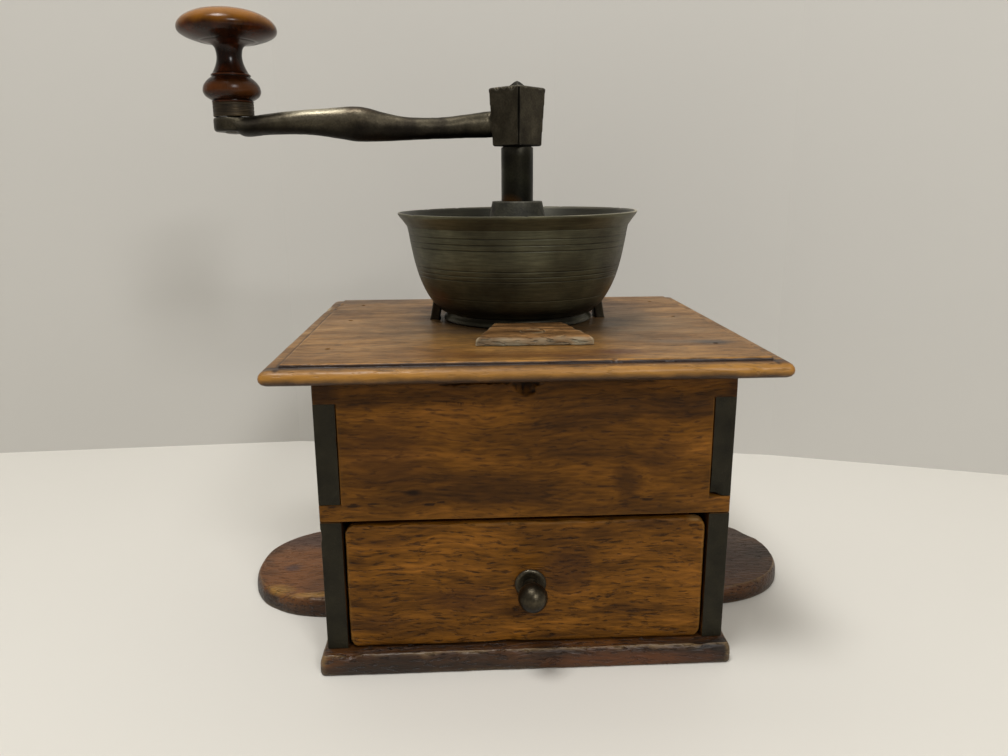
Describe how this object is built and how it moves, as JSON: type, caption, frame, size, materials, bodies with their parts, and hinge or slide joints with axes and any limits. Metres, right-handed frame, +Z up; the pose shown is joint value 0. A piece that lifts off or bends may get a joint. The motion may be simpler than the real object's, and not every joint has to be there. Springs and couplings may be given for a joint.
{
  "type": "manual coffee grinder",
  "caption": "Wooden box coffee grinder with a turned metal hopper bowl, a forged side crank with a turned wooden grip, burrs under the bowl and a drawer for the ground coffee.",
  "frame": {"origin": "on the floor, in the underside of the base board, straight below the shaft", "axes": "+Z up along the shaft, -Y out of the drawer front, the crank at rest points to -X"},
  "size_m": [0.2867, 0.1836, 0.2748],
  "materials": {
    "top_wood": "worn wax",
    "case_wood": "worn wax",
    "dark_end_wood": "dirty, smooth",
    "drawer_wood": "worn wax",
    "inner_wood": "bare",
    "base_wood": "worn wax",
    "grip_wood": "polished",
    "bowl_bronze": "brown green patina, turned",
    "forged_iron": "dark, hand worn",
    "burr_steel": "bare, ground",
    "old_brass": "dull, handled"
  },
  "bodies": {
    "case": {"base_board": "base_wood", "left_side_board": "dark_end_wood", "right_side_board": "dark_end_wood", "front_board": "case_wood", "back_board": "case_wood", "top_board": "top_wood", "bowl_block": "top_wood", "block_peg": "case_wood", "hopper_bowl": "bowl_bronze", "upper_bridge": "forged_iron", "left_bridge_rivet": "forged_iron", "right_bridge_rivet": "forged_iron", "left_strap": "forged_iron", "right_strap": "forged_iron", "left_bridge_lug": "bowl_bronze", "right_bridge_lug": "bowl_bronze", "strap_pin_1": "forged_iron", "strap_pin_2": "forged_iron", "lower_bridge": "forged_iron", "burr_ring": "burr_steel", "top_nail_1": "forged_iron", "top_nail_2": "forged_iron", "top_nail_3": "forged_iron", "top_nail_4": "forged_iron", "top_nail_5": "forged_iron", "top_nail_6": "forged_iron", "base_nail_1": "forged_iron", "base_nail_2": "forged_iron", "base_nail_3": "forged_iron", "base_nail_4": "forged_iron"},
    "drawer": {"drawer_front": "drawer_wood", "drawer_left_side": "inner_wood", "drawer_right_side": "inner_wood", "drawer_back": "inner_wood", "drawer_bottom": "inner_wood", "drawer_knob": "forged_iron", "knob_rosette": "forged_iron", "knob_washer": "old_brass", "drawer_nail_1": "forged_iron", "drawer_nail_2": "forged_iron", "drawer_nail_3": "forged_iron", "drawer_nail_4": "forged_iron"},
    "burr_lift": {"step_bearing": "burr_steel"},
    "thumbscrew": {"adjusting_screw": "forged_iron"},
    "crank": {"shaft": "forged_iron", "burr_cone": "burr_steel", "burr_pin": "forged_iron", "crank_arm": "forged_iron", "handle_pin": "forged_iron", "pin_washer": "old_brass"},
    "grip": {"handle_grip": "grip_wood", "handle_ferrule": "old_brass"}
  },
  "joints": [
    {"name": "drawer_slide", "type": "slide", "parent": "case", "child": "drawer", "axis": [0, -1, 0], "range_m": [0, 0.11]},
    {"name": "grind_lift", "type": "slide", "parent": "case", "child": "burr_lift", "axis": [0, 0, 1], "range_m": [-0.002, 0.0005]},
    {"name": "thumbscrew_turn", "type": "hinge", "parent": "burr_lift", "child": "thumbscrew", "pos_m": [0, 0, 0.08], "axis": [0, 0, 1], "range_deg": [-578, 146]},
    {"name": "crank_turn", "type": "hinge", "parent": "burr_lift", "child": "crank", "pos_m": [0, 0, 0.215], "axis": [0, 0, 1], "continuous": true},
    {"name": "grip_spin", "type": "hinge", "parent": "crank", "child": "grip", "pos_m": [-0.1308, 0, 0.2287], "axis": [0, 0, 1], "continuous": true}
  ],
  "couplings": [
    {"joint": "thumbscrew_turn", "follows": "grind_lift", "rad_per_m": 5026.5}
  ]
}
